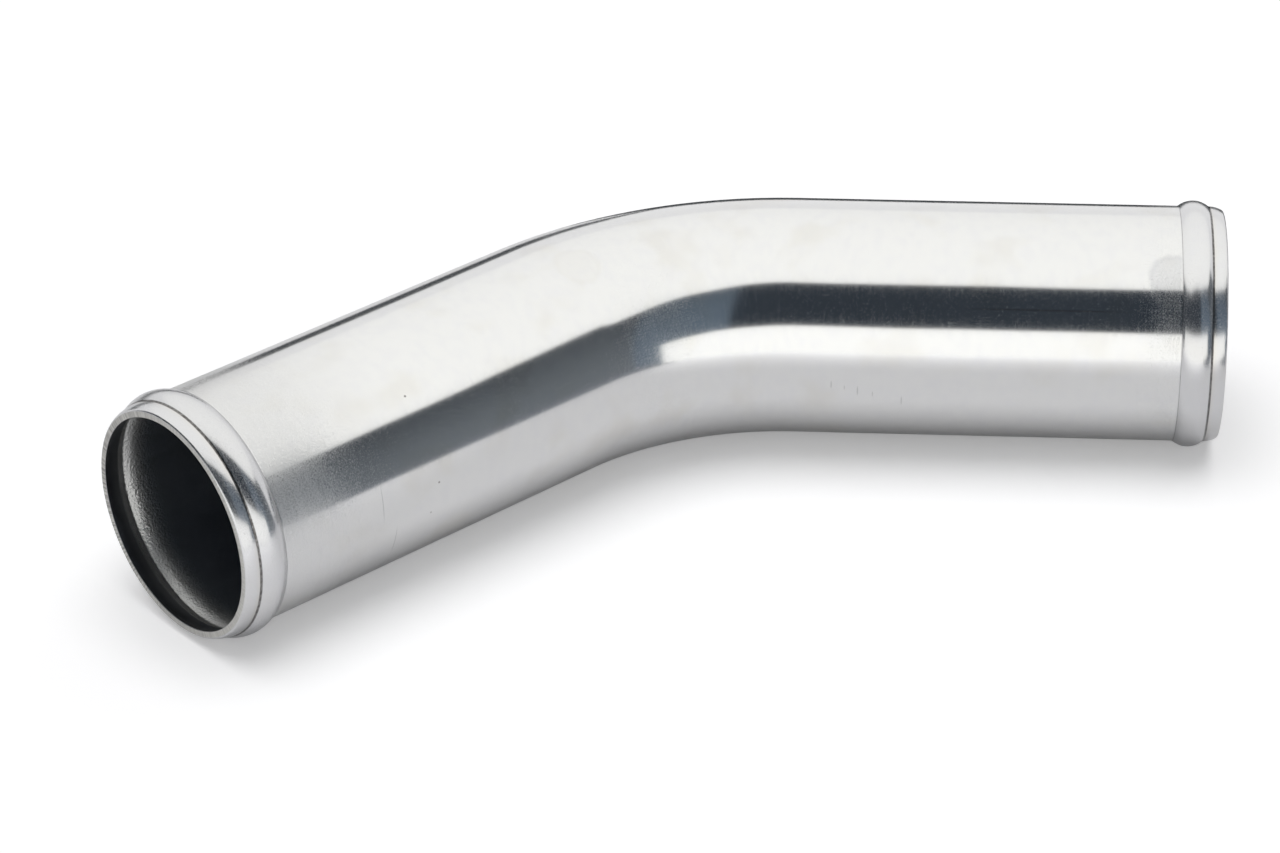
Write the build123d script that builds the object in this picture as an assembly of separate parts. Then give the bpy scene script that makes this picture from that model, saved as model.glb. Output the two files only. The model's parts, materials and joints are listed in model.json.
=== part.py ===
from build123d import *
import os
from math import cos, radians, sin, sqrt

# Air intake pipe from a car's engine bay: one length of round aluminium tube, bent once on a mandrel.
# Near each cut end a bead is rolled out of the wall, and a rubber hose is clamped on behind it.
# The short lip between bead and cut end is drawn in a little by the rolling.
# The bend lies flat: X runs along the outlet leg towards its mouth, and Z is up.
# The origin is under the middle of the pipe's box, on the surface that the beads rest on.

# Driving dimensions, in millimetres and degrees
TUBE_DIAMETER = 63.5
WALL = 2.0
BEND_ANGLE = 45.0
BEND_RADIUS = 95.25
INLET_LEG = 121.5
OUTLET_LEG = 114.0
LIP_LENGTH = 3.9
LIP_DRAWN_IN = 1.05
BEAD_HEIGHT = 1.5
ROLLER_NOSE_RADIUS = 4.2
RIM_DEBURR = 0.3

# The tube's own radii
OUTSIDE = TUBE_DIAMETER / 2
INSIDE = OUTSIDE - WALL


# The bead: the roller's nose presses the wall out, and the outside follows one wall further out
def half_width(arc_radius):
    """Half the width of an arc of that radius where it rises by the bead's height."""
    return sqrt(2 * BEAD_HEIGHT * arc_radius - BEAD_HEIGHT**2)


BEAD_HALF = half_width(ROLLER_NOSE_RADIUS + WALL)
GROOVE_HALF = half_width(ROLLER_NOSE_RADIUS)
BEAD_MIDDLE = LIP_LENGTH + BEAD_HALF


# Straight leg with its bead and lip
def leg_section(length):
    """Half section through a leg: X is the distance in from the cut end, Y the distance from the axis."""
    rim_outside = (0, OUTSIDE - LIP_DRAWN_IN)
    rim_inside = (0, INSIDE - LIP_DRAWN_IN)
    lip_crease = (LIP_LENGTH, OUTSIDE)
    tube_crease = (BEAD_MIDDLE + BEAD_HALF, OUTSIDE)
    groove_start = (BEAD_MIDDLE - GROOVE_HALF, INSIDE)
    groove_end = (BEAD_MIDDLE + GROOVE_HALF, INSIDE)
    outline = [
        Line(rim_inside, rim_outside),
        TangentArc(lip_crease, rim_outside, tangent=(-1, 0)),
        ThreePointArc(lip_crease, (BEAD_MIDDLE, OUTSIDE + BEAD_HEIGHT), tube_crease),
        Line(tube_crease, (length, OUTSIDE)),
        Line((length, OUTSIDE), (length, INSIDE)),
        Line((length, INSIDE), groove_end),
        ThreePointArc(groove_end, (BEAD_MIDDLE, INSIDE + BEAD_HEIGHT), groove_start),
        TangentArc(groove_start, rim_inside, tangent=(-1, 0)),
    ]
    section = make_face(outline)
    rim_corners = section.vertices().group_by(Axis.X)[0]
    return chamfer(rim_corners, RIM_DEBURR)


def leg(length, mouth, inwards):
    """A turned leg whose cut end is centred on the mouth and which runs inwards along a direction."""
    turned = revolve(leg_section(length), Axis.X, 360)
    return Plane(origin=mouth, x_dir=inwards, z_dir=(0, 0, 1)) * turned


# Centreline in the plane of the bend, with the outlet leg's end of the bend at (0, 0)
TURN = radians(BEND_ANGLE)
BEND_CENTRE = (0, -BEND_RADIUS)
BEND_END = (-BEND_RADIUS * sin(TURN), BEND_RADIUS * (cos(TURN) - 1))
OUTLET_MOUTH = (OUTLET_LEG, 0)
INLET_MOUTH = (BEND_END[0] - INLET_LEG * cos(TURN), BEND_END[1] - INLET_LEG * sin(TURN))


# Bend: the tube's ring swung round the bend's centre
def bend():
    ring = Plane.YZ * (Circle(OUTSIDE) - Circle(INSIDE))
    return revolve(ring, Axis(BEND_CENTRE, (0, 0, 1)), BEND_ANGLE)


# Whole pipe, moved so that it rests on the ground plane with the origin under its middle
def intake_pipe():
    outlet = leg(OUTLET_LEG, OUTLET_MOUTH, (-1, 0, 0))
    inlet = leg(INLET_LEG, INLET_MOUTH, (cos(TURN), sin(TURN), 0))
    pipe = outlet + bend() + inlet
    box = pipe.bounding_box()
    return Pos(-box.center().X, -box.center().Y, -box.min.Z) * pipe


os.makedirs("parts", exist_ok=True)
export_step(intake_pipe(), "parts/intake_pipe.step")
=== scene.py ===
import json
from math import atan2, cos, radians, sin, sqrt, tan

import bpy
import numpy as np
from mathutils import Matrix, Vector


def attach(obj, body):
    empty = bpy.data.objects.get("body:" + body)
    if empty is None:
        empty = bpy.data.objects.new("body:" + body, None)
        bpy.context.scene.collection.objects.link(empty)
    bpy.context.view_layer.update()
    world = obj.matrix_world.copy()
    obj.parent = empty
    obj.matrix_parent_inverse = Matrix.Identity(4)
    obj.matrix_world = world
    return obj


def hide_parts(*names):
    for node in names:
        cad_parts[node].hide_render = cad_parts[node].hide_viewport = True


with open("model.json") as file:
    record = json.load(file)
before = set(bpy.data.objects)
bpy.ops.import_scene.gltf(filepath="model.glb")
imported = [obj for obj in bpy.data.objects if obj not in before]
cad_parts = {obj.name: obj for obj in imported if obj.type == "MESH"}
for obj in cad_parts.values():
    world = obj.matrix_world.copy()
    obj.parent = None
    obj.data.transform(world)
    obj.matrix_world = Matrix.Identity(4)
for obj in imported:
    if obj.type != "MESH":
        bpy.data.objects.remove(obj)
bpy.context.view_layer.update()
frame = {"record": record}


# Camera: a long lens a little over a metre away, above the table and almost square to the outlet leg.
# Place, aim and lens were worked out from the pipe's edges in the photograph, which is 1280 pixels wide.
MM = 0.001
camera_place = Vector((56.0, -937.6, 595.8)) * MM
camera_azimuth, camera_elevation, camera_roll = -3.98, 31.16, -0.68
focal_length_px, photo_width_px = 4179.9, 1280
bpy.ops.object.select_all(action="DESELECT")
bpy.ops.object.camera_add()
camera = bpy.context.object
camera.matrix_world = (
    Matrix.Translation(camera_place)
    @ Matrix.Rotation(radians(-camera_azimuth), 4, "Z")
    @ Matrix.Rotation(radians(90 - camera_elevation), 4, "X")
    @ Matrix.Rotation(radians(camera_roll), 4, "Z")
)
camera.data.lens = camera.data.sensor_width * focal_length_px / photo_width_px
bpy.context.scene.camera = camera


# Pipe: one length of drawn aluminium tube, bent once on a mandrel and polished on the outside.
# Near each cut end a bead is rolled out of the wall from inside, and the lip beyond it curls in a little.
# The wall is drawn as one skin, ring by ring: along the outside, round the far rim and back through the bore.
mounts = {mount["name"]: mount for mount in frame["record"]["mounts"]}
mouths = [mounts["outlet_mouth"], mounts["inlet_mouth"]]
outlet_mouth, inlet_mouth = (Vector(mouth["pos_m"]) for mouth in mouths)
outlet_axis, inlet_axis = (Vector(mouth["axis"]).normalized() for mouth in mouths)
tube_radius = mounts["outlet_hose_seat"]["dims"]["r_mm"] * MM
wall = 2.0 * MM
bend_radius = 95.25 * MM
lip_length, lip_drawn_in = 3.9 * MM, 1.05 * MM
bead_height, bead_nose = 1.5 * MM, 6.2 * MM
groove_deepest, groove_run_out = 7.1 * MM, 6.6 * MM
crease_round, groove_round, rim_round_outside, rim_round_inside = 0.16 * MM, 0.25 * MM, 0.60 * MM, 0.35 * MM
segments_round, bend_steps = 240, 48
up = Vector((0, 0, 1))

# Where the axes of the two legs cross gives the bend's two ends and its centre
turn = outlet_axis.angle(-inlet_axis)
between = inlet_mouth - outlet_mouth
outlet_to_corner = between.cross(inlet_axis).z / -outlet_axis.cross(inlet_axis).z
corner = outlet_mouth - outlet_axis * outlet_to_corner
tangent_length = bend_radius * tan(turn / 2)
bend_start = corner + outlet_axis * tangent_length
bend_end = corner + inlet_axis * tangent_length
bend_centre = bend_start + outlet_axis.cross(up) * bend_radius
outlet_leg = (outlet_mouth - bend_start).length
inlet_leg = (inlet_mouth - bend_end).length
pipe_length = outlet_leg + bend_radius * turn + inlet_leg


def lip_line(radius, steps):
    """Distance from the cut end and radius along the lip, from the rim to the bead's foot."""
    curl = (lip_length**2 + lip_drawn_in**2) / (2 * lip_drawn_in)
    distances = [lip_length * step / steps for step in range(steps + 1)]
    return [(d, radius - curl + sqrt(curl**2 - (lip_length - d) ** 2)) for d in distances]


def bead_line(radius, nose, steps):
    """Distance from the cut end and radius over the bead, or over the groove inside it, from foot to foot."""
    middle = lip_length + sqrt(2 * bead_height * bead_nose - bead_height**2)
    half_width = sqrt(2 * bead_height * nose - bead_height**2)
    reach = atan2(half_width, nose - bead_height)
    angles = [reach * (2 * step / steps - 1) for step in range(steps + 1)]
    return [(middle + nose * sin(a), radius + bead_height - nose + nose * cos(a)) for a in angles]


def groove_line(radius, nose, steps):
    """The same for the groove: the roller's nose digs in near the lip, then the wall runs out to the bend."""
    arc = [ring for ring in bead_line(radius, nose, steps) if ring[0] < groove_deepest]
    depth = arc[-1][1] - radius
    shares = [step / steps for step in range(1, steps + 1)]
    return arc + [(arc[-1][0] + groove_run_out * t, radius + depth * (1 - t) ** 4) for t in shares]


def leg_line(radius, bead, leg, lip_steps, plain_steps):
    """Distance from the cut end and radius of each ring of a leg's skin, from the rim to the bend."""
    lip = [ring for ring in lip_line(radius, lip_steps) if ring[0] < bead[0][0] - 0.1 * MM]
    foot = bead[-1][0]
    plain = [(foot + (leg - foot) * step / plain_steps, radius) for step in range(1, plain_steps + 1)]
    return lip + bead + plain


def draw_leg(line, mouth, axis):
    """Draws a leg's skin by extruding the last ring from place to place along the leg."""
    global ring_centre, ring_radius
    for distance, radius in line:
        centre = mouth - axis * distance
        bpy.ops.mesh.extrude_region_move(TRANSFORM_OT_translate={"value": centre - ring_centre})
        bpy.ops.transform.resize(value=(radius / ring_radius,) * 3, center_override=centre)
        ring_centre, ring_radius = centre, radius


inside_radius = tube_radius - wall
groove_nose = bead_nose - wall
outside_bead = bead_line(tube_radius, bead_nose, steps=30)
groove = groove_line(inside_radius, groove_nose, steps=24)
legs = (outlet_leg, inlet_leg)
outside_line = {leg: leg_line(tube_radius, outside_bead, leg, lip_steps=10, plain_steps=14) for leg in legs}
inside_line = {leg: leg_line(inside_radius, groove, leg, lip_steps=6, plain_steps=12) for leg in legs}
ring_centre, ring_radius = outlet_mouth, outside_line[outlet_leg][0][1]
bpy.ops.object.select_all(action="DESELECT")
bpy.ops.mesh.primitive_circle_add(vertices=segments_round, radius=ring_radius, rotation=(0, radians(90), 0))
pipe = bpy.context.object
pipe.name = pipe.data.name = "pipe_wall"
bpy.ops.object.transform_apply(location=True, rotation=True, scale=True)
bpy.ops.object.mode_set(mode="EDIT")
bpy.ops.mesh.select_all(action="SELECT")
bpy.ops.transform.translate(value=outlet_mouth)
draw_leg(outside_line[outlet_leg][1:], outlet_mouth, outlet_axis)
bpy.ops.mesh.spin(steps=bend_steps, angle=-turn, center=bend_centre, axis=(0, 0, 1))
ring_centre = bend_end
draw_leg(outside_line[inlet_leg][-2::-1], inlet_mouth, inlet_axis)
draw_leg(inside_line[inlet_leg], inlet_mouth, inlet_axis)
bpy.ops.mesh.spin(steps=bend_steps, angle=turn, center=bend_centre, axis=(0, 0, 1))
ring_centre = bend_start
draw_leg(inside_line[outlet_leg][-2::-1] + outside_line[outlet_leg][:1], outlet_mouth, outlet_axis)
bpy.ops.mesh.select_all(action="SELECT")
bpy.ops.mesh.remove_doubles(threshold=0.002 * MM)
bpy.ops.mesh.normals_make_consistent(inside=False)
bpy.ops.object.mode_set(mode="OBJECT")


def straightened(points):
    """Each point's place in the tube laid straight: along from the outlet mouth, outwards of the bend, up."""
    from_centre = points - np.array(bend_centre)
    past_start = from_centre @ np.array(outlet_axis)
    past_end = from_centre @ np.array(inlet_axis)
    angle = np.arctan2(-past_start, from_centre @ np.array(up.cross(outlet_axis)))
    along = outlet_leg + bend_radius * angle
    along = np.where(past_start > 0, outlet_leg - past_start, along)
    along = np.where(past_end > 0, outlet_leg + bend_radius * turn + past_end, along)
    outwards = np.hypot(from_centre[:, 0], from_centre[:, 1])
    outwards = np.where(past_start > 0, from_centre @ np.array(up.cross(outlet_axis)), outwards)
    outwards = np.where(past_end > 0, from_centre @ np.array(inlet_axis.cross(up)), outwards)
    return np.stack([along, outwards - bend_radius, from_centre[:, 2]], axis=1)


def read(collection, name):
    """All of a mesh's points or faces as rows of three numbers."""
    values = np.zeros(len(collection) * 3)
    collection.foreach_get(name, values)
    return values.reshape(-1, 3)


def from_mouth(places):
    """Distance from the nearer cut end and from the tube's axis."""
    return np.minimum(places[:, 0], pipe_length - places[:, 0]), np.hypot(places[:, 1], places[:, 2])


def round_off(corners, width, steps):
    """Rounds the rings that lie at these distances from the cut end and radii."""
    distance, radius = from_mouth(straightened(read(pipe.data.vertices, "co")))
    near = np.zeros(len(distance), bool)
    same_ring = 0.01 * MM
    for corner_distance, corner_radius in corners:
        near |= np.hypot(distance - corner_distance, radius - corner_radius) < same_ring
    bpy.ops.object.mode_set(mode="EDIT")
    bpy.ops.mesh.select_all(action="DESELECT")
    bpy.ops.object.mode_set(mode="OBJECT")
    pipe.data.vertices.foreach_set("select", near)
    ends = np.zeros(len(pipe.data.edges) * 2, int)
    pipe.data.edges.foreach_get("vertices", ends)
    pipe.data.edges.foreach_set("select", near[ends.reshape(-1, 2)].all(axis=1))
    bpy.ops.object.mode_set(mode="EDIT")
    bpy.ops.mesh.bevel(offset=width, segments=steps, profile=0.5, affect="EDGES", clamp_overlap=True)
    bpy.ops.object.mode_set(mode="OBJECT")


bpy.context.scene.tool_settings.mesh_select_mode = (False, True, False)
round_off([outside_bead[0], outside_bead[-1]], crease_round, steps=3)
round_off([groove[0]], groove_round, steps=3)
round_off([lip_line(tube_radius, steps=1)[0]], rim_round_outside, steps=4)
round_off([lip_line(inside_radius, steps=1)[0]], rim_round_inside, steps=3)
bpy.ops.object.select_all(action="DESELECT")
pipe.select_set(True)
bpy.context.view_layer.objects.active = pipe
bpy.ops.object.shade_smooth()

# Its places along and round the straightened tube are kept on the mesh, for finishes that follow the bend
places = straightened(read(pipe.data.vertices, "co"))
kept = pipe.data.attributes.new("straight_tube", "FLOAT_VECTOR", "POINT")
kept.data.foreach_set("vector", places.astype(np.float32).ravel())


# The outside is drawn aluminium, buffed round the tube with a soft wheel after it was rolled and bent.
# The eye sees clear reflections whose edges wander a little, faint lines round the tube, and a thin haze over
# the reflections where the wheel did less.


def linear(hex_colour):
    """A colour written as sRGB hex, in the linear values that a shader takes."""
    channels = [int(hex_colour[i : i + 2], 16) / 255 for i in (1, 3, 5)]
    return [c / 12.92 if c <= 0.04045 else ((c + 0.055) / 1.055) ** 2.4 for c in channels] + [1.0]


def node(tree, kind, settings, inputs, output=0):
    """Adds a node with its settings to a tree, fills or links its inputs and returns one of its outputs."""
    made = tree.nodes.new(kind)
    for name, value in settings.items():
        setattr(made, name, value)
    for name, value in inputs.items():
        if isinstance(value, bpy.types.NodeSocket):
            tree.links.new(value, made.inputs[name])
        else:
            made.inputs[name].default_value = value
    return made.outputs[output] if made.outputs else made


def new_finish(name):
    """An empty material and its node tree."""
    made = bpy.data.materials.new(name)
    made.use_nodes = True
    made.node_tree.nodes.clear()
    return made, made.node_tree


def grain(tree, along_mm, round_mm, detail, shift):
    """A pattern in the straightened tube whose grains have these sizes along it and round it."""
    place = node(tree, "ShaderNodeAttribute", {"attribute_name": "straight_tube"}, {}, "Vector")
    scale = (1 / (along_mm * MM), 1 / (round_mm * MM), 1 / (round_mm * MM))
    inputs = {0: place, 1: scale, 2: (shift,) * 3}
    place = node(tree, "ShaderNodeVectorMath", {"operation": "MULTIPLY_ADD"}, inputs)
    return node(tree, "ShaderNodeTexNoise", {}, {"Vector": place, "Scale": 1.0, "Detail": detail})


polished, tree = new_finish("wheel_polished_aluminium")
place = node(tree, "ShaderNodeAttribute", {"attribute_name": "straight_tube"}, {}, "Vector")
along = node(tree, "ShaderNodeSeparateXYZ", {}, {"Vector": place}, "X")
to_inlet = node(tree, "ShaderNodeMath", {"operation": "SUBTRACT"}, {0: pipe_length, 1: along})
from_end = node(tree, "ShaderNodeMath", {"operation": "MINIMUM"}, {0: along, 1: to_inlet})

# The polish begins at the bead's far foot, and the roller's satin is left on bead and lip
smooth = {"interpolation_type": "SMOOTHSTEP"}
ends = {"From Min": 11.9 * MM, "From Max": 12.6 * MM, "To Min": 0.0, "To Max": 1.0}
past_bead = node(tree, "ShaderNodeMapRange", smooth, {"Value": from_end, **ends})

# The wheel reached three places less well: the last few centimetres before the inlet bead, a patch beside the
# outlet bead, and the bend's half towards the inlet. The satin of bead and lip shows half of this.
ends = {"From Min": 52 * MM, "From Max": 16 * MM, "To Min": 0.0, "To Max": 0.44}
dull = node(tree, "ShaderNodeMapRange", smooth, {"Value": to_inlet, **ends})
wobble = grain(tree, along_mm=3.0, round_mm=3.0, detail=2.0, shift=31.0)
ragged = node(tree, "ShaderNodeMath", {"operation": "MULTIPLY_ADD"}, {0: wobble, 1: 8.0 * MM, 2: along})
ends = {"From Min": 30 * MM, "From Max": 20 * MM, "To Min": 0.0, "To Max": 0.21}
patch = node(tree, "ShaderNodeMapRange", smooth, {"Value": ragged, **ends})
dull = node(tree, "ShaderNodeMath", {"operation": "ADD"}, {0: dull, 1: patch})
share_of_bend = 0.77
haze_middle = outlet_leg + share_of_bend * bend_radius * turn
gap = node(tree, "ShaderNodeMath", {"operation": "SUBTRACT"}, {0: ragged, 1: haze_middle})
gap = node(tree, "ShaderNodeMath", {"operation": "ABSOLUTE"}, {0: gap})
ends = {"From Min": 26 * MM, "From Max": 6 * MM, "To Min": 0.0, "To Max": 0.16}
in_bend = node(tree, "ShaderNodeMapRange", smooth, {"Value": gap, **ends})
dull = node(tree, "ShaderNodeMath", {"operation": "ADD"}, {0: dull, 1: in_bend})
half_on_bead = node(tree, "ShaderNodeMath", {"operation": "MULTIPLY_ADD"}, {0: past_bead, 1: 0.5, 2: 0.5})
dull = node(tree, "ShaderNodeMath", {"operation": "MULTIPLY"}, {0: dull, 1: half_on_bead})

# Under a lens the dull metal is a clear ground with scattered matt scratches, 0.03 mm wide and far finer than
# a pixel, which give the haze. The well polished metal between has next to none.
clear_roughness, scratch_roughness = 0.12, 0.42
scratches = grain(tree, along_mm=0.03, round_mm=0.4, detail=0.0, shift=41.0)
streaks = grain(tree, along_mm=0.6, round_mm=22.0, detail=1.0, shift=3.0)
matt_share = node(tree, "ShaderNodeMath", {"operation": "ADD"}, {0: scratches, 1: dull})
matt_share = node(tree, "ShaderNodeMath", {"operation": "MULTIPLY_ADD"}, {0: streaks, 1: 0.15, 2: matt_share})
ends = {"From Min": 0.85, "From Max": 0.95, "To Min": clear_roughness, "To Max": scratch_roughness}
rough = node(tree, "ShaderNodeMapRange", smooth, {"Value": matt_share, **ends})

# The wheel's own lines run round the tube. They are drawn 0.12 mm wide, coarser than real ones, so that they
# show, and are hardly rougher than the ground.
buffing = grain(tree, along_mm=0.12, round_mm=5.0, detail=1.0, shift=0.0)
ends = {"From Min": 0.52, "From Max": 0.66, "To Min": 0.0, "To Max": 0.05}
lines = node(tree, "ShaderNodeMapRange", smooth, {"Value": buffing, **ends})
rough = node(tree, "ShaderNodeMath", {"operation": "ADD"}, {0: rough, 1: lines})

# The rolled bead and lip are satin at least
satin_roughness = 0.19
rolled = node(tree, "ShaderNodeMapRange", {}, {"Value": past_bead, "To Min": satin_roughness, "To Max": 0.0})
rough = node(tree, "ShaderNodeMath", {"operation": "MAXIMUM"}, {0: rough, 1: rolled})

# The metal's colour: faint lilac mottling, larger warm clouds, and a greyer tone near the inlet and on bead
# and lip
bare, lilac, warm = linear("#DBDBDB"), linear("#CFCFD6"), linear("#CECBC4")
dulled, satin = linear("#C6C6C7"), linear("#C3C3C8")
mottle = grain(tree, along_mm=3.0, round_mm=4.0, detail=3.0, shift=11.0)
ends = {"From Min": 0.4, "From Max": 0.7, "To Min": 0.0, "To Max": 0.16}
share = node(tree, "ShaderNodeMapRange", smooth, {"Value": mottle, **ends})
tone = node(tree, "ShaderNodeMix", {"data_type": "RGBA"}, {0: share, 6: bare, 7: lilac}, 2)
clouds = grain(tree, along_mm=18.0, round_mm=16.0, detail=2.0, shift=17.0)
ends = {"From Min": 0.5, "From Max": 0.72, "To Min": 0.0, "To Max": 0.35}
share = node(tree, "ShaderNodeMapRange", smooth, {"Value": clouds, **ends})
tone = node(tree, "ShaderNodeMix", {"data_type": "RGBA"}, {0: share, 6: tone, 7: warm}, 2)
ends = {"From Min": 66 * MM, "From Max": 20 * MM, "To Min": 0.0, "To Max": 0.4}
share = node(tree, "ShaderNodeMapRange", smooth, {"Value": to_inlet, **ends})
tone = node(tree, "ShaderNodeMix", {"data_type": "RGBA"}, {0: share, 6: tone, 7: dulled}, 2)
on_bead = node(tree, "ShaderNodeMapRange", {}, {"Value": past_bead, "To Min": 0.30, "To Max": 0.0})
tone = node(tree, "ShaderNodeMix", {"data_type": "RGBA"}, {0: on_bead, 6: tone, 7: satin}, 2)

# Two round stains with ragged edges, a little darker there, one beside the outlet bead and one on the bend.
# Each has its middle in the straightened tube and its radius, in millimetres, its colour and its strength.
stains = [((14.5, -19.3, 25.2), 6.2, "#B4B5BA", 0.46), ((182.5, -8.5, 30.6), 6.6, "#CCC8BE", 0.16)]
for middle, radius_mm, colour, strength in stains:
    inputs = {0: place, 1: Vector(middle) * MM}
    gap = node(tree, "ShaderNodeVectorMath", {"operation": "DISTANCE"}, inputs, "Value")
    gap = node(tree, "ShaderNodeMath", {"operation": "MULTIPLY_ADD"}, {0: wobble, 1: 2.4 * MM, 2: gap})
    edge = radius_mm * MM + 1.0 * MM
    ends = {"From Min": edge - 1.6 * MM, "From Max": edge, "To Min": 0.7, "To Max": 1.0}
    ring = node(tree, "ShaderNodeMapRange", smooth, {"Value": gap, **ends})
    ends = {"From Min": edge - 0.6 * MM, "From Max": edge + 1.4 * MM, "To Min": strength, "To Max": 0.0}
    inside = node(tree, "ShaderNodeMapRange", smooth, {"Value": gap, **ends})
    share = node(tree, "ShaderNodeMath", {"operation": "MULTIPLY"}, {0: ring, 1: inside})
    share = node(tree, "ShaderNodeMath", {"operation": "MULTIPLY"}, {0: share, 1: past_bead})
    tone = node(tree, "ShaderNodeMix", {"data_type": "RGBA"}, {0: share, 6: tone, 7: linear(colour)}, 2)

# Three specks, two long scratches round the tube, five short nicks beside the bend and a brown line along the
# outlet leg. Each has its middle in the straightened tube and its half sizes along and round the tube, in
# millimetres, its colour and its strength.
marks = [
    ((251.5, -21.4, 23.5), (0.4, 0.4), "#6A6765", 0.8),
    ((249.7, -31.7, 1.9), (0.4, 0.4), "#77736F", 0.7),
    ((252.3, -31.1, -6.3), (0.35, 0.35), "#77736F", 0.6),
    ((267.7, -31.6, 2.9), (0.15, 7.0), "#8F9194", 0.5),
    ((263.3, -30.0, -10.6), (0.15, 6.0), "#8F9194", 0.5),
    ((104.0, -31.6, -3.1), (0.25, 1.6), "#A9A9AA", 0.5),
    ((100.5, -31.5, -4.0), (0.2, 1.0), "#A9A9AA", 0.45),
    ((97.0, -31.4, -5.0), (0.25, 2.0), "#A9A9AA", 0.5),
    ((93.0, -31.3, -6.0), (0.2, 1.2), "#A9A9AA", 0.45),
    ((85.3, -30.7, -8.1), (0.25, 2.0), "#A9A9AA", 0.5),
    ((48.0, -26.2, 17.9), (27.0, 0.22), "#A08C7C", 0.5),
]
for middle, (half_along, half_round), colour, strength in marks:
    away = node(tree, "ShaderNodeVectorMath", {"operation": "SUBTRACT"}, {0: place, 1: Vector(middle) * MM})
    scale = (1 / (half_along * MM), 1 / (half_round * MM), 1 / (half_round * MM))
    away = node(tree, "ShaderNodeVectorMath", {"operation": "MULTIPLY"}, {0: away, 1: scale})
    away = node(tree, "ShaderNodeVectorMath", {"operation": "LENGTH"}, {0: away}, "Value")
    ends = {"From Min": 0.5, "From Max": 1.0, "To Min": strength, "To Max": 0.0}
    share = node(tree, "ShaderNodeMapRange", smooth, {"Value": away, **ends})
    tone = node(tree, "ShaderNodeMix", {"data_type": "RGBA"}, {0: share, 6: tone, 7: linear(colour)}, 2)

# The bead's two creases are darker, wider and darker on the lip's side, with a brown tinge on the lip beside
# them. Small bright nicks break the darkening a little.
nicks = grain(tree, along_mm=0.4, round_mm=0.8, detail=2.0, shift=23.0)
ends = {"From Min": 0.32, "From Max": 0.6, "To Min": 0.7, "To Max": 1.0}
broken = node(tree, "ShaderNodeMapRange", smooth, {"Value": nicks, **ends})
tinge = node(tree, "ShaderNodeMath", {"operation": "MULTIPLY"}, {0: clouds, 1: 0.5})
ends = {"From Min": 2.2 * MM, "From Max": 3.8 * MM, "To Min": 0.0, "To Max": 0.5}
beside = node(tree, "ShaderNodeMapRange", smooth, {"Value": from_end, **ends})
ends = {"From Min": 4.1 * MM, "From Max": 4.0 * MM, "To Min": 0.0, "To Max": 1.0}
on_lip = node(tree, "ShaderNodeMapRange", {}, {"Value": from_end, **ends})
share = node(tree, "ShaderNodeMath", {"operation": "MULTIPLY"}, {0: beside, 1: tinge})
share = node(tree, "ShaderNodeMath", {"operation": "MULTIPLY"}, {0: share, 1: on_lip})
tone = node(tree, "ShaderNodeMix", {"data_type": "RGBA"}, {0: share, 6: tone, 7: linear("#CBBEA4")}, 2)

# Each crease's place from the cut end, how far the darkening is full and where it ends, and its strength
crease_darkening = linear("#3E3B39")
lip_crease = (lip_length + 0.03 * MM, 0.20 * MM, 0.40 * MM, 0.9)
far_crease = (outside_bead[-1][0], 0.05 * MM, 0.15 * MM, 0.5)
# Each crease's colour is made darker here
for crease, full, gone, strength in (lip_crease, far_crease):
    gap = node(tree, "ShaderNodeMath", {"operation": "SUBTRACT"}, {0: from_end, 1: crease})
    gap = node(tree, "ShaderNodeMath", {"operation": "ABSOLUTE"}, {0: gap})
    ends = {"From Min": full, "From Max": gone, "To Min": strength, "To Max": 0.0}
    share = node(tree, "ShaderNodeMapRange", smooth, {"Value": gap, **ends})
    share = node(tree, "ShaderNodeMath", {"operation": "MULTIPLY"}, {0: share, 1: broken})
    tone = node(tree, "ShaderNodeMix", {"data_type": "RGBA"}, {0: share, 6: tone, 7: crease_darkening}, 2)

# Drawing and bending leave the wall a little wavy
waves = grain(tree, along_mm=40.0, round_mm=22.0, detail=1.0, shift=29.0)
normal = node(tree, "ShaderNodeBump", {}, {"Height": waves, "Distance": 0.12 * MM}, "Normal")
inputs = {"Height": buffing, "Distance": 0.001 * MM, "Normal": normal}
normal = node(tree, "ShaderNodeBump", {}, inputs, "Normal")
inputs = {"Metallic": 1.0, "Base Color": tone, "Roughness": rough, "Normal": normal}
metal = node(tree, "ShaderNodeBsdfPrincipled", {}, inputs)
node(tree, "ShaderNodeOutputMaterial", {}, {"Surface": metal})

# The bore is as the drawing die and the mandrel left it: satin aluminium with lines along the tube. Its
# colour is painted paler near the mouth, over the groove where the roller stretched the wall, as painted
# light, and greyer further in, as painted shade. The stretched wall has an orange-peel grain of 0.6 mm.
# Inside the lip the colour is painted darker still, as painted shade, without that grain.
drawn, tree = new_finish("drawn_bore_aluminium")
place = node(tree, "ShaderNodeAttribute", {"attribute_name": "straight_tube"}, {}, "Vector")
along = node(tree, "ShaderNodeSeparateXYZ", {}, {"Vector": place}, "X")
to_inlet = node(tree, "ShaderNodeMath", {"operation": "SUBTRACT"}, {0: pipe_length, 1: along})
from_end = node(tree, "ShaderNodeMath", {"operation": "MINIMUM"}, {0: along, 1: to_inlet})
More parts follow.
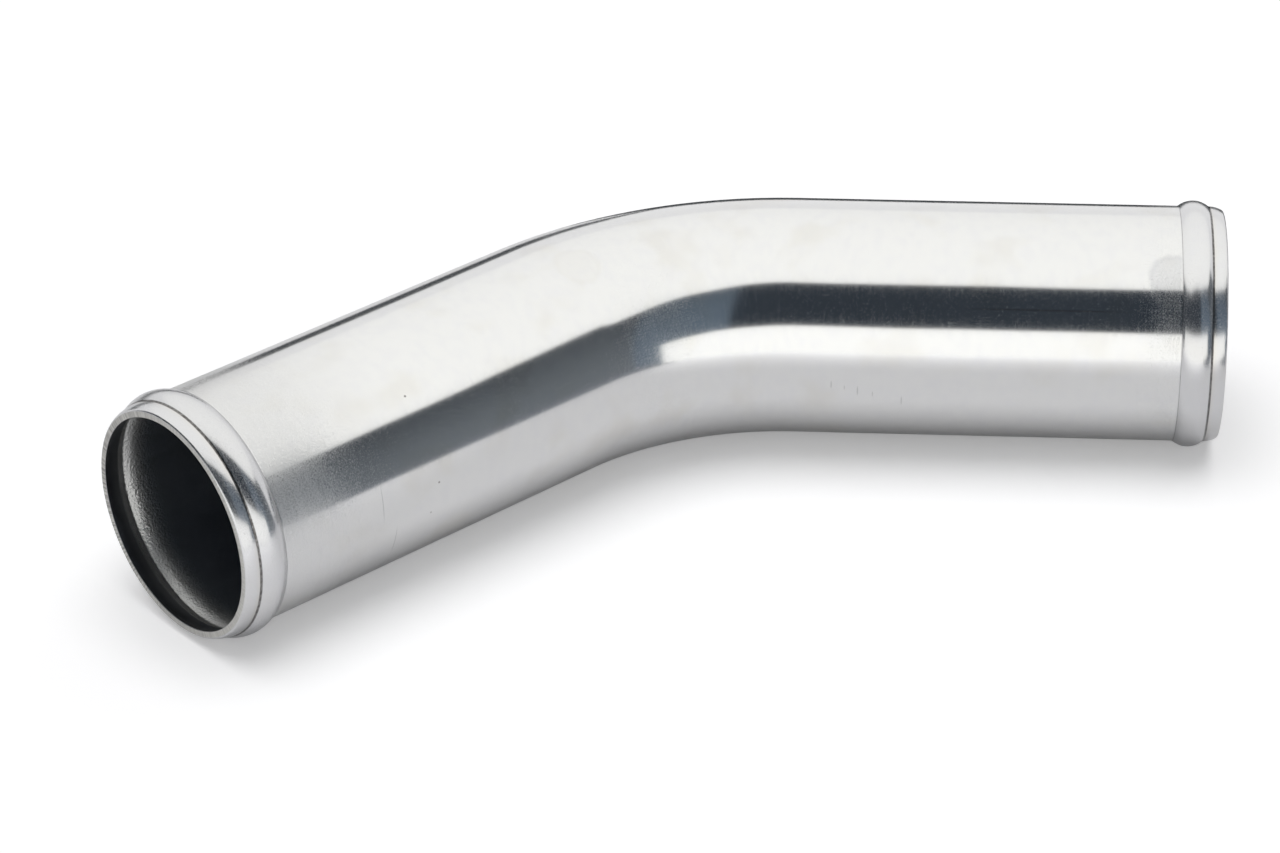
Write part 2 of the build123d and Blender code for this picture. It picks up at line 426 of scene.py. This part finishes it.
# Painted light and shade: the colour is paler near the mouth and greyer further into the bore
ends = {"From Min": 9 * MM, "From Max": 15 * MM, "To Min": 0.0, "To Max": 1.0}
deeper_shade = node(tree, "ShaderNodeMapRange", smooth, {"Value": from_end, **ends})
colours = {0: deeper_shade, 6: linear("#C4C4C3"), 7: linear("#A0A6AE")}
tone = node(tree, "ShaderNodeMix", {"data_type": "RGBA"}, colours, 2)
die_lines = grain(tree, along_mm=60.0, round_mm=0.5, detail=2.0, shift=7.0)
ends = {"From Min": 0.3, "From Max": 0.7, "To Min": 0.34, "To Max": 0.46}
rough = node(tree, "ShaderNodeMapRange", {}, {"Value": die_lines, **ends})
peel = grain(tree, along_mm=0.6, round_mm=0.6, detail=2.0, shift=3.0)
ends = {"From Min": 18 * MM, "From Max": 12 * MM, "To Min": 0.05, "To Max": 1.0}
stretched = node(tree, "ShaderNodeMapRange", smooth, {"Value": from_end, **ends})
ends = {"From Min": 4.3 * MM, "From Max": 5.0 * MM, "To Min": 0.0, "To Max": 1.0}
past_lip = node(tree, "ShaderNodeMapRange", {}, {"Value": from_end, **ends})
# Painted shade: the colour inside the lip is darker
lip_shaded_tone = node(tree, "ShaderNodeMix", {"data_type": "RGBA"}, {0: past_lip, 6: linear("#8C8E91"), 7: tone}, 2)
peel = node(tree, "ShaderNodeMath", {"operation": "MULTIPLY"}, {0: peel, 1: stretched})
peel = node(tree, "ShaderNodeMath", {"operation": "MULTIPLY"}, {0: peel, 1: past_lip})
normal = node(tree, "ShaderNodeBump", {}, {"Height": peel, "Distance": 0.22 * MM}, "Normal")
inputs = {"Height": die_lines, "Distance": 0.004 * MM, "Normal": normal}
normal = node(tree, "ShaderNodeBump", {}, inputs, "Normal")
inputs = {"Metallic": 1.0, "Base Color": lip_shaded_tone, "Roughness": rough, "Normal": normal}
metal = node(tree, "ShaderNodeBsdfPrincipled", {}, inputs)
node(tree, "ShaderNodeOutputMaterial", {}, {"Surface": metal})

# The rims are as the saw left them and then knocked back by hand: grey and rough, with tooth marks half a
# millimetre wide across the wall that are plainest on the outer side of the bend
sawn, tree = new_finish("sawn_rim_aluminium")
place = node(tree, "ShaderNodeAttribute", {"attribute_name": "straight_tube"}, {}, "Vector")
spoke = node(tree, "ShaderNodeVectorMath", {"operation": "MULTIPLY"}, {0: place, 1: (0, 1, 1)})
spoke = node(tree, "ShaderNodeVectorMath", {"operation": "NORMALIZE"}, {0: spoke})
marks_per_radius = 60.0
teeth = node(tree, "ShaderNodeTexNoise", {}, {"Vector": spoke, "Scale": marks_per_radius, "Detail": 3.0})
ends = {"From Min": 0.38, "From Max": 0.62, "To Min": 0.0, "To Max": 1.0}
share = node(tree, "ShaderNodeMapRange", smooth, {"Value": teeth, **ends})
side = node(tree, "ShaderNodeSeparateXYZ", {}, {"Vector": spoke}, "Y")
burred_ends = {"From Min": 0.1, "From Max": 0.9, "To Min": 0.3, "To Max": 1.0}
burred = node(tree, "ShaderNodeMapRange", {}, {"Value": side, **burred_ends})
share = node(tree, "ShaderNodeMath", {"operation": "MULTIPLY"}, {0: share, 1: burred})
colours = {0: share, 6: linear("#C6C5C1"), 7: linear("#949391")}
tone = node(tree, "ShaderNodeMix", {"data_type": "RGBA"}, colours, 2)
rough = node(tree, "ShaderNodeMapRange", {}, {"Value": teeth, **ends, "To Min": 0.36, "To Max": 0.52})
normal = node(tree, "ShaderNodeBump", {}, {"Height": teeth, "Distance": 0.04 * MM}, "Normal")
inputs = {"Metallic": 1.0, "Base Color": tone, "Roughness": rough, "Normal": normal}
metal = node(tree, "ShaderNodeBsdfPrincipled", {}, inputs)
node(tree, "ShaderNodeOutputMaterial", {}, {"Surface": metal})

# Each face takes its finish from the way it faces: out of the tube, into the bore, or along it at the rims
for finish in (polished, drawn, sawn):
    pipe.data.materials.append(finish)
centres, normals = read(pipe.data.polygons, "center"), read(pipe.data.polygons, "normal")
step_out = 0.01 * MM
rise = from_mouth(straightened(centres + normals * step_out))[1] - from_mouth(straightened(centres))[1]
facing_out = rise / step_out
rim_limit = 0.35
finish_number = np.where(facing_out > rim_limit, 0, np.where(facing_out < -rim_limit, 1, 2))
pipe.data.polygons.foreach_set("material_index", finish_number)
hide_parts("intake_pipe")
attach(pipe, "root")


# Studio: what the polished wall mirrors, worked out from its reflections in the photograph. A large softbox
# hangs overhead, a white card stands beyond the table's front edge, and the room round them is dark.
# The panels show in reflections only, and the key light lights the floor.
table_left, table_right, table_front, table_back = -1.2, 0.26, -0.27, 0.60
softbox_height, room_floor = 0.90, -0.12


def panel(name, low, high, low_colour, high_colour, strength=1.0):
    """A flat shining panel between two corners, with one colour at its low edge and one at its high edge."""
    sides = [b - a for a, b in zip(low, high)]
    middle = [(a + b) / 2 for a, b in zip(low, high)]
    bpy.ops.object.select_all(action="DESELECT")
    if sides[2] == 0:
        bpy.ops.mesh.primitive_plane_add(size=1, location=middle)
        size = (sides[0], sides[1], 1)
    elif sides[1] == 0:
        bpy.ops.mesh.primitive_plane_add(size=1, location=middle, rotation=(radians(90), 0, 0))
        size = (sides[0], sides[2], 1)
    else:
        bpy.ops.mesh.primitive_plane_add(size=1, location=middle, rotation=(radians(90), 0, radians(90)))
        size = (sides[1], sides[2], 1)
    made = bpy.context.object
    made.name = name
    made.scale = size
    bpy.ops.object.transform_apply(location=True, rotation=True, scale=True)
    paint, tree = new_finish(name)
    spot = node(tree, "ShaderNodeTexCoord", {}, {}, "Object")
    axis = 2 if sides[2] else 1
    way = node(tree, "ShaderNodeSeparateXYZ", {}, {"Vector": spot}, axis)
    ends = {"From Min": low[axis], "From Max": high[axis]}
    share = node(tree, "ShaderNodeMapRange", smooth, {"Value": way, **ends})
    colours = {0: share, 6: linear(low_colour), 7: linear(high_colour)}
    colour = node(tree, "ShaderNodeMix", {"data_type": "RGBA"}, colours, 2)
    glow = node(tree, "ShaderNodeEmission", {}, {"Color": colour, "Strength": strength})
    node(tree, "ShaderNodeOutputMaterial", {}, {"Surface": glow})
    made.data.materials.append(paint)
    made.visible_camera = False
    made.visible_diffuse = False
    made.visible_shadow = False


# The softbox is brightest at the front, and straight cuts take its two front corners off.
# Each cut has a point that it runs through and the way that its waste side lies.
panel("softbox", (-1.5, -0.43, softbox_height), (1.18, 2.2, softbox_height), "#FFFFFC", "#F2F2F0", 1.28)
bpy.ops.object.mode_set(mode="EDIT")
corner_cuts = [((0.40, -0.43), (0.235, -1.0)), ((0.91, -0.31), (0.5, -1.0)), ((1.10, -0.215), (1.5, -1.0))]
corner_cuts += [((-0.50, -0.43), (-0.35, -1.0)), ((-1.10, -0.22), (-1.5, -1.0))]
for through, outward in corner_cuts:
    bpy.ops.mesh.select_all(action="SELECT")
    cut = {"plane_co": (*through, softbox_height), "plane_no": (*outward, 0.0)}
    bpy.ops.mesh.bisect(**cut, clear_outer=True)
bpy.ops.object.mode_set(mode="OBJECT")

panel("front_card", (-1.6, -0.9, room_floor), (1.36, -0.9, 0.365), "#FFFFFC", "#FFFFFC", 1.40)
panel("dark_room_front", (-2.0, -0.92, -0.3), (0.48, -0.92, 3.2), "#363D45", "#363D45")
panel("dark_room_front_right", (0.48, -0.92, -0.3), (2.4, -0.92, 3.2), "#707E8C", "#454D54")
panel("dark_room_right", (2.4, -0.92, -0.5), (2.4, 0.35, 3.2), "#787E83", "#0B1622")
panel("dark_room_left", (-2.0, -0.92, -0.3), (-2.0, 0.8, 2.6), "#454A50", "#454A50")
dim, pale = "#7B8088", "#EDEDEE"
panel("dark_below_front", (-3.0, -2.0, room_floor), (3.0, table_front, room_floor), dim, dim)
panel("pale_floor_right", (table_right, table_front, room_floor), (0.95, 2.0, room_floor), pale, pale)
panel("dark_below_right", (0.95, table_front, room_floor), (3.0, 2.0, room_floor), dim, dim)
panel("dark_strip_behind", (-0.05, 0.165, 0.0005), (0.6, 0.62, 0.0005), "#3C3F42", "#3C3F42")
panel("dark_wall_behind_left", (-0.7, 0.5, 0.0), (-0.01, 0.5, 0.115), "#4A4D50", "#4A4D50")

# This wall's top slopes down to the floor at its right
bpy.ops.object.mode_set(mode="EDIT")
slopes = [((-0.187, 0.112), (0.38, 0.92)), ((-0.085, 0.07), (0.87, 0.50))]
for through, outward in slopes:
    bpy.ops.mesh.select_all(action="SELECT")
    cut = {"plane_co": (through[0], 0.5, through[1]), "plane_no": (outward[0], 0.0, outward[1])}
    bpy.ops.mesh.bisect(**cut, clear_outer=True)
bpy.ops.object.mode_set(mode="OBJECT")

# The key light comes from overhead and is wide, for a soft shadow on the floor
bpy.ops.object.select_all(action="DESELECT")
bpy.ops.object.light_add(type="SUN", location=(0, 0, softbox_height), rotation=(radians(6), 0, 0))
key_light = bpy.context.object
key_light.name = "key_light"
key_light.data.angle = radians(54)
key_light.data.energy = 1.9
key_light.visible_glossy = False
key_light.visible_camera = False

# Floor: a table covered with matt white board, and the studio floor round it, which the metal doesn't mirror.
# The board is lifted to white for the camera. In reflections it has a painted glow that stands for the card's
# light, faint near the pipe and strongest at its front edge.
camera_lift, painted_glow_start = 0.28, -0.057
board, tree = new_finish("matt_white_board")
matt = node(tree, "ShaderNodeBsdfDiffuse", {}, {"Color": linear("#EDEDEE")})
camera_ray = node(tree, "ShaderNodeLightPath", {}, {}, "Is Camera Ray")
glossy_ray = node(tree, "ShaderNodeLightPath", {}, {}, "Is Glossy Ray")
transmission_ray = node(tree, "ShaderNodeLightPath", {}, {}, "Is Transmission Ray")
lift = node(tree, "ShaderNodeMath", {"operation": "MULTIPLY"}, {0: camera_ray, 1: camera_lift})
mirrored = node(tree, "ShaderNodeMath", {"operation": "MAXIMUM"}, {0: glossy_ray, 1: transmission_ray})
spot = node(tree, "ShaderNodeTexCoord", {}, {}, "Object")
depth = node(tree, "ShaderNodeSeparateXYZ", {}, {"Vector": spot}, "Y")
# Painted light: in reflections the board glows more towards its front edge
ends = {"From Min": painted_glow_start, "From Max": table_front, "To Min": 0.02, "To Max": 0.64}
painted_card_glow = node(tree, "ShaderNodeMapRange", {}, {"Value": depth, **ends})
lift = node(tree, "ShaderNodeMath", {"operation": "MULTIPLY_ADD"}, {0: mirrored, 1: painted_card_glow, 2: lift})
glow = node(tree, "ShaderNodeEmission", {}, {"Color": linear("#FFFFFF"), "Strength": lift})
both = node(tree, "ShaderNodeAddShader", {}, {0: matt, 1: glow})
node(tree, "ShaderNodeOutputMaterial", {}, {"Surface": both})

bpy.ops.object.select_all(action="DESELECT")
table_middle = ((table_left + table_right) / 2, (table_back + table_front) / 2, 0)
bpy.ops.mesh.primitive_plane_add(size=1, location=table_middle)
table = bpy.context.object
table.name = "table_top"
table.scale = (table_right - table_left, table_back - table_front, 1)
bpy.ops.object.transform_apply(location=True, rotation=True, scale=True)
table.data.materials.append(board)

# The shadow of the table's edge would show as a line on the floor below it
table.visible_shadow = False

bpy.ops.object.select_all(action="DESELECT")
bpy.ops.mesh.primitive_plane_add(size=12, location=(0, 0, -0.3 * MM))
bpy.ops.object.transform_apply(location=True, rotation=True, scale=True)
far_floor = bpy.context.object
far_floor.name = "far_floor"
far_floor.data.materials.append(board)
far_floor.visible_glossy = False

# World: plain white behind everything that the camera or the metal sees. For all other rays it is a weak,
# even fill, which keeps the shadow on the floor pale.
fill_strength = 0.28
world = bpy.data.worlds.new("studio")
bpy.context.scene.world = world
world.use_nodes = True
tree = world.node_tree
tree.nodes.clear()
camera_ray = node(tree, "ShaderNodeLightPath", {}, {}, "Is Camera Ray")
glossy_ray = node(tree, "ShaderNodeLightPath", {}, {}, "Is Glossy Ray")
transmission_ray = node(tree, "ShaderNodeLightPath", {}, {}, "Is Transmission Ray")
seen = node(tree, "ShaderNodeMath", {"operation": "MAXIMUM"}, {0: camera_ray, 1: glossy_ray})
seen = node(tree, "ShaderNodeMath", {"operation": "MAXIMUM"}, {0: seen, 1: transmission_ray})
strength = node(tree, "ShaderNodeMapRange", {}, {"Value": seen, "To Min": fill_strength, "To Max": 1.0})
sky = node(tree, "ShaderNodeBackground", {}, {"Color": linear("#FFFFFF"), "Strength": strength})
node(tree, "ShaderNodeOutputWorld", {}, {"Surface": sky})
bpy.context.scene.view_settings.view_transform = "Standard"
